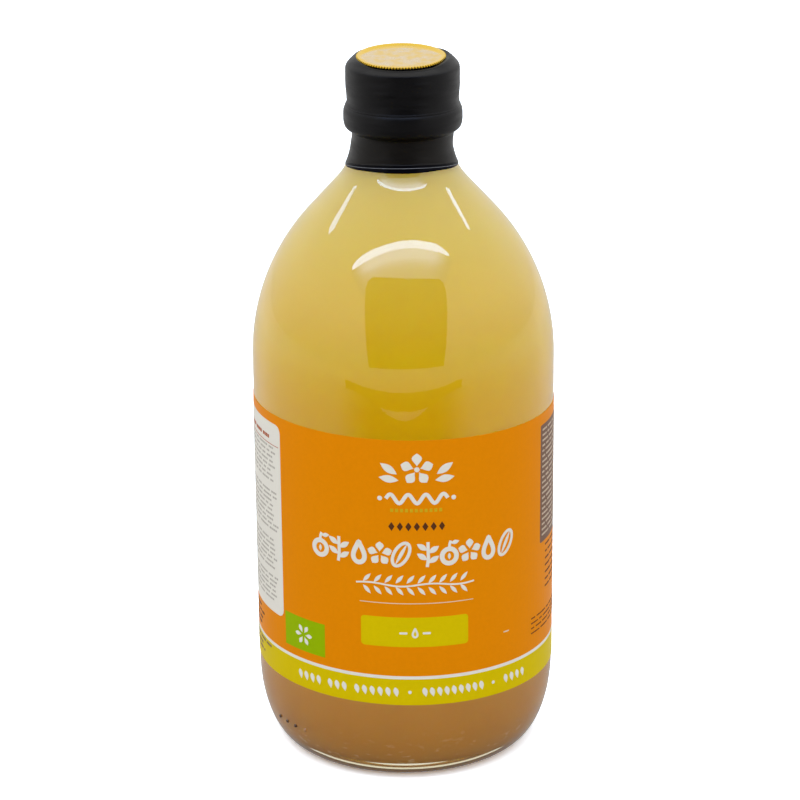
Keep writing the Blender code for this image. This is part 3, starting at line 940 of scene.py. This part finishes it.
# %% The stamping tree
stamp, given = new_tree("Stamp motifs", {"Motif": ("NodeSocketObject", None),
                                         "Ink": ("NodeSocketMaterial", None)})
motif_in = add(stamp, "GeometryNodeObjectInfo", {"Object": given["Motif"]})
size = add(stamp, "GeometryNodeInputNamedAttribute", {"Name": "size"}, data_type="FLOAT_VECTOR")
tilt = add(stamp, "GeometryNodeInputNamedAttribute", {"Name": "tilt"}, data_type="FLOAT")
spin = add(stamp, "FunctionNodeAxisAngleToRotation", {"Axis": (0, 0, 1), "Angle": tilt})
set_down = add(stamp, "GeometryNodeInstanceOnPoints",
               {"Points": given["Geometry"], "Instance": motif_in.outputs["Geometry"],
                "Rotation": spin, "Scale": size})
end_tree(stamp, set_down, given["Ink"])


def stamped(name, shapes, places):
    """A flat mesh with the motif at each place: (x, y), or (x, y, width, height, tilt)."""
    motif = bpy.data.objects.new(name + "_motif", flat_mesh(name + "_motif", shapes))
    places = [tuple(p) + (1, 1, 0)[len(p) - 2:] for p in places]
    mesh = new_mesh(name, [(p[0], p[1], 0.0) for p in places])
    mesh.attributes.new("size", "FLOAT_VECTOR", "POINT").data.foreach_set(
        "vector", [v for p in places for v in (p[2], p[3], 1.0)])
    mesh.attributes.new("tilt", "FLOAT", "POINT").data.foreach_set(
        "value", [math.radians(p[4]) for p in places])
    item = grown(name + "_flat", mesh, stamp, {"Motif": motif, "Ink": inks["white"]})
    made = item.data.copy()
    made.materials.clear()
    for gone in (item, motif):
        bpy.data.objects.remove(gone)
    return made


def joined(name, meshes):
    """Several flat meshes as one."""
    shape = bmesh.new()
    for mesh in meshes:
        shape.from_mesh(mesh)
        bpy.data.meshes.remove(mesh)
    made = bpy.data.meshes.new(name)
    shape.to_mesh(made)
    shape.free()
    return made


print("stamping nodes:", len(stamp.nodes))

# %% Motifs for the title
STROKE = 1.2


def loop_of(rx, ry, pinch=0.0, steps=28):
    """A closed line: an ellipse, drawn in to a point at its top as pinch nears 1."""
    line = []
    for i in range(steps):
        t = math.tau * i / steps
        x, y = rx * math.sin(t), -ry * math.cos(t)
        line.append((-x * (1 - pinch * ((1 - math.cos(t)) / 2) ** 1.5), y))
    return line


def outlined(loop, width):
    """A closed line drawn with a stroke, wound so that the stroke faces up."""
    return ribbon(loop[::-1], width, True)


fruit = [moved(outlined(loop_of(1.85, 1.9), STROKE), 0, -0.8), moved(leaf(1.7, 0.8), 0, -0.8, 90),
         ribbon([(0.0, 1.6), (0.1, 2.4), (0.4, 3.2)], 0.7), moved(leaf(2.2, 1.1), 1.5, 2.75, 12)]
drop = [moved(outlined(loop_of(1.85, 2.7, 0.9), STROKE), 0, -0.1)]
frond = [moved(outlined(loop_of(3.3, 1.7), 0.8), 0, 0, 62), moved(leaf(6.4, 0.9), 0, 0, 62)]
sprout = [ribbon([(-0.2, -3.3), (0.1, -1.2), (0.0, 3.2)], 0.8)] + [
    moved(leaf(3.1, 1.45), s * 1.45, y, s * 34 if s > 0 else 180 - 34) for s, y in (
        (-1, -0.6), (1, -1.4), (-1, 1.9), (1, 1.2))]
petal = moved(leaf(2.6, 2.05, 6, 0.6), 1.85, 0.0)
blossom = [moved(petal, 0, 0, 90 + 72 * i) for i in range(5)]
TITLE_MIDDLE = 62.9
title_x = [start + step * i for start, step in ((-22.0, 5.25), (5.6, 5.35)) for i in range(5)]
title_plan = [fruit, sprout, drop, blossom, frond, sprout, fruit, blossom, drop, frond]
title = []
for motif in (fruit, drop, frond, sprout, blossom):
    spots = [(x, TITLE_MIDDLE) for x, plan in zip(title_x, title_plan) if plan is motif]
    title.append(stamped("title", motif, spots))
printed("title_row", joined("title_row", title), "white")

# %% Emblem, wave, twig and rule
EMBLEM = (3.0, 85.0)
flower = stamped("emblem_petals", [moved(leaf(3.3, 2.5, 8, 0.6), 2.5, 0)],
                 [(*EMBLEM, 1, 1, 90 + 72 * i) for i in range(5)])
leaves = stamped("emblem_leaves", [leaf(4.9, 1.9, 8)],
                 [(EMBLEM[0] + s * 6.9, EMBLEM[1] - 2.5 + d, 1, 1, s * t)
                  for s in (-1, 1) for d, t in ((0.0, 8), (2.6, 34))])
heart = flat_mesh("emblem_heart", [moved(oval(1.3, 1.3), *EMBLEM)])
WAVE_MIDDLE, WAVE_ENDS = 77.4, (-4.6, 10.6)
wave_line = [(WAVE_ENDS[0] + (WAVE_ENDS[1] - WAVE_ENDS[0]) * i / 60,
              WAVE_MIDDLE + 1.15 * math.sin(math.tau * 3.5 * i / 60)) for i in range(61)]
wave = flat_mesh("wave", [ribbon(wave_line, 0.95)] + [
    moved(oval(1.2, 1.2), x, WAVE_MIDDLE) for x in (WAVE_ENDS[0] - 1.5, WAVE_ENDS[1] + 1.5)])
printed("emblem", joined("emblem", [flower, leaves, heart, wave]), "white")

TWIG_ENDS, TWIG_MIDDLE, TWIG_STEP = (-12.3, 17.5), 54.8, 2.7
twig_line = [(TWIG_ENDS[0] + (TWIG_ENDS[1] - TWIG_ENDS[0]) * i / 40,
              TWIG_MIDDLE + 0.35 * math.sin(math.tau * i / 40 * 2)) for i in range(41)]
twig_stem = flat_mesh("twig_stem", [ribbon(twig_line, 0.42)])
twig_places = []
for i in range(10):
    x = TWIG_ENDS[0] + 1.6 + TWIG_STEP * i
    for side in (-1, 1):
        twig_places.append((x + 1.15, TWIG_MIDDLE + side * 1.55, 1, 1, side * 48))
twig_leaves = stamped("twig_leaves", [leaf(2.9, 0.95, 8)], twig_places)
printed("twig", joined("twig", [twig_stem, twig_leaves]), "white")
printed("thin_rule", [box(-11.4, 17.3, 49.82, 50.0)], "cream")

# %% Small marks: lozenges, dashes, drop, petals and seeds
lozenge = ([(-0.75, 0), (0, -1.15), (0.75, 0), (0, 1.15)], [(0, 1, 2, 3)])
for name, mark, start, step, y, number, colour in (
        ("lozenge", lozenge, -3.3, 2.07, 70.2, 7, "brown"),
        ("dash", box(-0.36, 0.36, -0.45, 0.45), -3.2, 1.2, 74.4, 11, "olive")):
    printed(name + "_row", stamped(name, [mark], [(start + step * i, y) for i in range(number)]),
            colour)
printed("box_mark", joined("box_mark", [
    flat_mesh("box_drop", [moved(outlined(loop_of(0.75, 1.15, 0.9), 0.5), 2.3, 42.1)]),
    stamped("box_dashes", [box(-1.0, 1.0, -0.28, 0.28, 0.2)],
            [(-0.6, 42.0), (5.2, 42.0)])]), "white")
printed("petal_ring", stamped("petal_ring", [moved(leaf(2.2, 1.15, 8, 0.6), 1.75, 0)],
                              [(-28.0, 37.0, 1, 1, 60 * i) for i in range(6)]), "white")
printed("stray_dash", [box(26.5, 28.3, 38.75, 39.05)], "cream")

BAND_MIDDLE = 26.1
seed_places = []
for start, end, words in ((-29.7, -2.0, (4, 3, 6)), (4.2, 20.2, (9,)), (26.8, 34.0, (4,))):
    gaps = len(words) - 1
    pitch = (end - start - 1.0) / (sum(words) - 1 + gaps * 0.7)
    x = start + 0.5
    for seeds in words:
        for i in range(seeds):
            seed_places.append((x, BAND_MIDDLE, 1, 1, 12))
            x += pitch
        x += pitch * 0.7
seeds = stamped("seeds", [moved(leaf(2.6, 1.3, 8, 0.42), 0, 0, -90)], seed_places)
band_dots = flat_mesh("band_dots", [moved(oval(0.9, 0.9), x, BAND_MIDDLE) for x in (0.93, 23.2)])
printed("seed_row", joined("seed_row", [seeds, band_dots]), "white")

# %% [markdown]
# ## Small print that says nothing
#
# Panels of small print are the background noise of a grocery label. From a metre away they are
# grey rows, so they are drawn as rows of short dashes, grouped as words would be and ragged at
# their ends. The dashes are stamped by the same tree, with a fixed seed for their lengths.

# %% Rows of dashes
draw = random.Random(7)
DASH_GAP, WORD_GAP = 0.2, 0.75


def text_rows(left, right, bottom, top, pitch, height, ragged=6.0):
    """Places for dashes that fill rows between two edges, with ragged ends."""
    places, y = [], top
    while y > bottom:
        stop = right - draw.uniform(0, ragged)
        x = left
        while x < stop - 1.5:
            for _ in range(draw.randint(2, 6)):
                width = draw.uniform(0.45, 1.0)
                if x + width > stop:
                    break
                places.append((x + width / 2, y, width, height, 0))
                x += width + DASH_GAP
            x += WORD_GAP
        y -= pitch
    return places


dash = [box(-0.5, 0.5, -0.5, 0.5)]


def small_print(name, places, colour):
    printed(name, stamped(name, dash, places), colour, bend=False)


panel_places = []
for bottom, top in ((73.6, 83.4), (60.6, 71.6), (50.4, 58.6), (42.0, 48.6)):
    panel_places += text_rows(-80, -36.8, bottom, top, 1.25, 0.5, 3.0)
small_print("panel_rows", panel_places, "grey")
small_print("panel_heading", text_rows(-80, -38, 85.0, 86.0, 2.0, 0.9, 1.0), "rust")
printed("panel_rule", [box(-80, -36.4, 84.18, 84.34)], "rust")
small_print("brown_rows", text_rows(43, 84.5, 59.6, 88, 1.4, 0.5), "soft")
small_print("side_rows", text_rows(45.6, 84, 43.6, 56.6, 1.9, 0.4)
            + text_rows(37.5, 84, 34.4, 39.0, 1.35, 0.3)
            + text_rows(-80, -43, 31.6, 37.2, 1.6, 0.5), "brown")
small_print("band_rows", text_rows(-80, -41.5, 24.2, 28.6, 1.5, 0.6), "panel")

# %% [markdown]
# ## Shrunk film capsule
#
# A sleeve of black film is slipped over the closure and shrunk by hot air. It takes the shape of
# what is under it: the skirt, the groove and the wider band of the closure, then the neck. It
# creases a little and is cut off slightly askew. The profile passes smoothly through the CAD
# part's points, and the folds are vertex moves by a rule, because each one differs.

# %% Film finish
shrink_film, tree, shader, where = new_finish("shrink_film", Specular_IOR_Level=0.11)
# PVC film, shrunk: satin, with wrinkles about a millimetre apart that run round the neck
stretched = add(tree, "Mapping", {"Vector": where, "Scale": (0.25, 0.25, 1.0)})
noise = rough_and_bump(tree, shader, stretched, 1.6, (0.32, 0.46), 0.1, 4.0)
# Over the neck the film is coloured a trace browner. Its cut edge
# is a blue-black bead, tall at the front and thin at the sides, with a highlight painted along its
# crest as a pale line
film_height = add(tree, "SeparateXYZ", [where]).outputs["Z"]
film_colour = ramp_over(tree, film_height, [(159.5, linear("0D0A07")), (162, linear("070607"))])
feed(tree, shader, {"Base Color": film_colour})

HEM_SLOPE, HEM_FRONT, HEM_TOP, CREST = 0.15, -13.0, 154.05, 153.4
film_bead, tree, shader, where = new_finish("shrink_film_bead", Specular_IOR_Level=0.03)
rough_and_bump(tree, shader, where, 2.0, (0.08, 0.16), 0.02)
above_hem = add(tree, "VectorMath", [where, (0, HEM_SLOPE, 1)], operation="DOT_PRODUCT")
# A painted highlight: the pale band in the middle of this ramp draws a light line along the bead's
# crest
bead_colour_and_painted_highlight = ramp_over(tree, above_hem.outputs["Value"], [
    (HEM_SLOPE * HEM_FRONT + CREST + off, linear(shade))
    for off, shade in ((-0.09, "05060C"), (-0.02, "6C6F76"), (0.02, "6C6F76"), (0.09, "05060C"))])
feed(tree, shader, {"Base Color": bead_colour_and_painted_highlight})

print("film finishes:", shrink_film.name, film_bead.name)

# %% Film profile and folds
FILM_THICKNESS, FILM_ASIDE = 0.3, 0.35
CROWN_TILT, CROWN_LOW, CROWN_HIGH, CROWN_SIDES = math.tan(math.radians(4.6)), 176.05, 177.75, 0.4
FOOT_HIGH, FOOT_DIP, FOOT_END, FOOT_PROUD = 156.0, 0.55, 152.2, 0.3
film_line = [(9.4, 177.8), (10.9, 177.82), (11.3, 177.93), (11.6, 177.95), (11.9, 177.84),
             (12.4, 177.55), (13.2, 177.0), (13.75, 176.5), (13.99, 176.05), (14.07, 175.4),
             (14.08, 174.2), (14.1, 172.8), (14.05, 171.4), (13.95, 170.0), (13.85, 168.6),
             (13.92, 167.4), (14.04, 166.75), (14.2, 166.62), (14.24, 166.45), (14.2, 166.28),
             (14.36, 166.1), (14.62, 165.4), (14.7, 164.0), (14.64, 162.5), (14.25, 161.2),
             (13.35, 160.4), (12.75, 159.9), (12.58, 159.2), (12.6, 157.4), (12.72, 156.0),
             (12.88, 155.2), (12.96, 154.35), (13.1, 154.15), (13.17, 153.85), (13.12, 153.65),
             (13.18, 153.5), (13.36, 153.35), (13.46, 153.0), (13.53, 152.75), (13.58, 152.45),
             (13.5, 152.2)]
# Each fold: height, direction, half its turn, how proud, half its height
film_folds = [(174.0, -73, 17, 0.22, 0.5), (171.6, -109, 15, 0.2, 0.5), (168.9, -76, 18, 0.24, 0.5),
              (174.3, -120, 26, -0.12, 1.2), (171.3, -60, 26, 0.14, 1.0),
              (168.4, -95, 40, -0.1, 0.8),
              (173.0, 20, 36, -0.14, 1.0), (170.7, 150, 40, 0.14, 0.9), (174.0, 100, 45, 0.14, 0.8),
              (167.6, 190, 40, -0.12, 0.8), (172.6, 60, 22, 0.12, 0.5), (163.4, -40, 50, 0.08, 0.6),
              (164.4, -130, 40, 0.08, 0.5), (158.2, -75, 30, 0.08, 0.7)]


print("film points:", len(film_line), "folds:", len(film_folds))


# %% Curves
def smoothed(line, steps=4):
    """A curve through every point of a line (Catmull-Rom)."""
    points = []
    for i in range(len(line) - 1):
        a, b = line[max(i - 1, 0)], line[i]
        c, d = line[i + 1], line[min(i + 2, len(line) - 1)]
        for k in range(steps):
            t = k / steps
            points.append(tuple(0.5 * (2 * q + (r - p) * t + (2 * p - 5 * q + 4 * r - s) * t ** 2
                                       + (3 * q - p - 3 * r + s) * t ** 3)
                                for p, q, r, s in zip(a, b, c, d)))
    return points + [line[-1]]


def inset(line, distance):
    """The same line moved in, square to itself."""
    made = []
    for i, (r, z) in enumerate(line):
        a, b = line[max(i - 1, 0)], line[min(i + 1, len(line) - 1)]
        dr, dz = b[0] - a[0], b[1] - a[1]
        length = math.hypot(dr, dz)
        made.append((r + dz / length * distance, z - dr / length * distance))
    return made


def ease(value, low, high):
    share = min(1.0, max(0.0, (value - low) / (high - low)))
    return share * share * (3 - 2 * share)


glass_line = sorted((z, r) for r, z in outside())


def glass_radius(z):
    """The bottle's outer radius at a height."""
    for (z0, r0), (z1, r1) in zip(glass_line, glass_line[1:]):
        if z0 <= z < z1:
            return r0 + (r1 - r0) * (z - z0) / (z1 - z0)
    return NECK_RADIUS


print("glass radius at the film's foot:", round(glass_radius(FOOT_END), 2), "mm")


# %% Folding the film
def folded(item):
    """Tilts the film's crown, lays its foot on the glass and presses its folds in."""
    for vertex in item.data.vertices:
        x, y, z = (c / MM for c in vertex.co)
        radius, angle = math.hypot(x, y), math.degrees(math.atan2(y, x))
        crown = min(1.0, max(0.0, (z - CROWN_LOW) / (CROWN_HIGH - CROWN_LOW)))
        lift = crown * (y * CROWN_TILT + CROWN_SIDES * ease(abs(x) / radius, 0.6, 0.95))
        if z < FOOT_HIGH:
            off_front = abs((angle + 270) % 360 - 180)
            squeeze = 0.75 * ease(off_front, 20, 80) * (1 - ease(z, FOOT_HIGH - 1, FOOT_HIGH))
            dip = FOOT_DIP * ease(off_front, 30, 85) * (1 - ease(z, FOOT_HIGH - 3, FOOT_HIGH))
            lift = -squeeze * (z - FOOT_END) - dip
            proud = radius - glass_radius(z)
            radius = glass_radius(z + lift) + proud + (FOOT_PROUD - proud) * squeeze
        for middle, towards, half, depth, tall in film_folds:
            turned_by = (angle - towards + 180) % 360 - 180
            radius += (depth * max(0.0, 1 - (turned_by / half) ** 2) ** 2
                       * max(0.0, 1 - ((z - middle) / tall) ** 2) ** 2)
        scale = radius / math.hypot(x, y)
        aside = FILM_ASIDE * ease(z, FOOT_HIGH, FOOT_HIGH + 4)
        vertex.co = ((x * scale + aside) * MM, y * scale * MM, (z + lift) * MM)


film_curve = smoothed(film_line)
film = turned("film_capsule", film_curve + inset(film_curve, FILM_THICKNESS)[::-1],
              shrink_film, closed=True)
folded(film)
film.data.materials.clear()
for finish in (shrink_film, film_bead):
    film.data.materials.append(finish)
for face in film.data.polygons:
    along_hem = face.center.z / MM + HEM_SLOPE * (face.center.y / MM - HEM_FRONT)
    face.material_index = 1 if along_hem < HEM_TOP and face.center.y < 0 else 0
mount(film, "capsule", "shrink_capsule")

# %% [markdown]
# ## Closure under the film
#
# The closure itself never shows, but it is part of the object, so the CAD solid stays and gets
# the finish of its real material, moulded polypropylene: dark, satin and very slightly grained.

# %% Closure finish
moulded_cap, tree, shader, where = new_finish("moulded_polypropylene", IOR=1.49)
grain = rough_and_bump(tree, shader, where, 0.5, (0.38, 0.5), 0.01)
cap_colour = add(tree, "Mix", {0: grain, 6: linear("1A191A"), 7: linear("222122")},
                 data_type="RGBA")
feed(tree, shader, {"Base Color": cap_colour.outputs[2]})
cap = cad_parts["screw_cap"]
cap.data.materials.clear()
cap.data.materials.append(moulded_cap)
print("closure keeps its CAD mesh:", len(cap.data.polygons), "faces")

# %% [markdown]
# ## Gold foil disc
#
# The disc is embossed foil with a crimped edge: a raised rim, a flat field and a shallow ring at
# its middle. The teeth repeat round the edge, so a tree pushes the rim's points in and out by a
# wave. Gold-coloured aluminium is metallic, with its colour in the reflection itself. The field
# is lacquered matt, worn thin in places, and painted paler and greyer than the rim, partly for the
# whitish reflection that it shows; the rim is painted a deeper yellow as a painted reflection, in
# a band that reaches further in at the front and back.

# %% Foil finish
DISC_TOP, DISC_THICKNESS, DISC_RADIUS, DISC_TEETH = 178.6, 0.34, 11.0, 92
TOOTH_DEPTH, RIM_WIDTH, RIM_RISE, RING_RADIUS = 0.45, 0.8, 0.4, 3.3
RIM_START = DISC_RADIUS - 0.4 * RIM_WIDTH
FIELD_SHIFT, FIELD_SQUASH = 0.6, 1.25

gold_foil, tree, shader, where = new_finish("gold_anodised_foil", Metallic=1.0)
scuffs = rough_and_bump(tree, shader, where, 2.4, (0.22, 0.4), 0.04, 5.0)
# The field's grey is partly painted reflection; the noise blotches it as wear
worn = add(tree, "MapRange", {"Value": scuffs, "From Min": 0.42, "From Max": 0.62})
lacquer_and_painted_sheen = add(tree, "Mix", {0: worn, 6: linear("C2AE89"), 7: linear("C8AB60")}, data_type="RGBA")
# The rim's deeper yellow, a painted reflection, reaches furthest in at the front and back
shifted = add(tree, "VectorMath", [where, (0, FIELD_SHIFT * MM, 0)], operation="ADD")
squashed = add(tree, "VectorMath", [shifted, (1, FIELD_SQUASH, 0)], operation="MULTIPLY")
from_axis = add(tree, "VectorMath", [squashed], operation="LENGTH")
on_rim = add(tree, "MapRange", {"Value": from_axis.outputs["Value"],
                                "From Min": (DISC_RADIUS - 2.0 * RIM_WIDTH) * MM,
                                "From Max": (DISC_RADIUS - 1.2 * RIM_WIDTH) * MM})
foil = add(tree, "Mix", {0: on_rim, 6: lacquer_and_painted_sheen.outputs[2], 7: linear("CFAC33")}, data_type="RGBA")
feed(tree, shader, {"Base Color": foil.outputs[2]})

print("foil finish:", gold_foil.name)

# %% Disc shape
crimp, given = new_tree("Crimp the rim", {
    "Teeth": ("NodeSocketInt", DISC_TEETH), "Depth": ("NodeSocketFloat", 0.0004),
    "Rim start": ("NodeSocketFloat", 0.01), "Disc radius": ("NodeSocketFloat", 0.011),
    "Tilt": ("NodeSocketFloat", 0.0), "Finish": ("NodeSocketMaterial", None)})
parts = add(crimp, "SeparateXYZ", [add(crimp, "GeometryNodeInputPosition")]).outputs
level_only = add(crimp, "CombineXYZ", {"X": parts["X"], "Y": parts["Y"]})
out = add(crimp, "VectorMath", [level_only], operation="LENGTH")
azimuth = add(crimp, "Math", [parts["Y"], parts["X"]], operation="ARCTAN2")
phase = add(crimp, "Math", [azimuth, given["Teeth"]], operation="MULTIPLY")
ripple = add(crimp, "Math", [phase], operation="COSINE")
valley = add(crimp, "MapRange", {"Value": ripple, "From Min": 0.35,
                                 "From Max": -0.35}, interpolation_type="SMOOTHSTEP")
edge = add(crimp, "MapRange", {"Value": out.outputs["Value"], "From Min": given["Rim start"],
                               "From Max": given["Disc radius"]})
pull = add(crimp, "Math", [valley, edge], operation="MULTIPLY")
pull_in = add(crimp, "Math", [pull, given["Depth"]], operation="MULTIPLY")
outward = add(crimp, "VectorMath", [level_only], operation="NORMALIZE")
inward = add(crimp, "Math", [pull_in, -1.0], operation="MULTIPLY")
push = add(crimp, "VectorMath", {0: outward, "Scale": inward}, operation="SCALE")
lean_up = add(crimp, "Math", [parts["Y"], given["Tilt"]], operation="MULTIPLY")
lean_way = add(crimp, "CombineXYZ", {"Z": lean_up})
shift = add(crimp, "VectorMath", [push, lean_way])
crimped = add(crimp, "GeometryNodeSetPosition", {"Geometry": given["Geometry"], "Offset": shift})
end_tree(crimp, crimped, given["Finish"])

WELL = DISC_TOP - RIM_RISE
disc_profile = [(0.0, WELL), (RING_RADIUS, WELL), (RING_RADIUS + 0.3, WELL + 0.05),
                (RING_RADIUS + 0.6, WELL + 0.05), (RING_RADIUS + RIM_WIDTH, WELL - 0.03),
                (DISC_RADIUS - 2.5 * RIM_WIDTH, WELL),
                (DISC_RADIUS - 1.5 * RIM_WIDTH, DISC_TOP - 0.12),
                (DISC_RADIUS - RIM_WIDTH, DISC_TOP), (RIM_START - 0.06, DISC_TOP - 0.035),
                (RIM_START, DISC_TOP - 0.045),
                (DISC_RADIUS - 0.12, DISC_TOP - 0.08), (DISC_RADIUS, DISC_TOP - 0.16),
                (DISC_RADIUS, DISC_TOP - DISC_THICKNESS), (0.0, DISC_TOP - DISC_THICKNESS)]
plain_disc = turned("disc_blank", disc_profile, gold_foil, 8 * DISC_TEETH)
disc = grown("foil_disc", plain_disc.data.copy(), crimp, {
    "Teeth": DISC_TEETH, "Depth": TOOTH_DEPTH * MM, "Rim start": RIM_START * MM,
    "Disc radius": DISC_RADIUS * MM, "Tilt": CROWN_TILT, "Finish": gold_foil})
bpy.data.objects.remove(plain_disc)
face_outwards(disc)
mount(disc, "gold", "gold_disc")
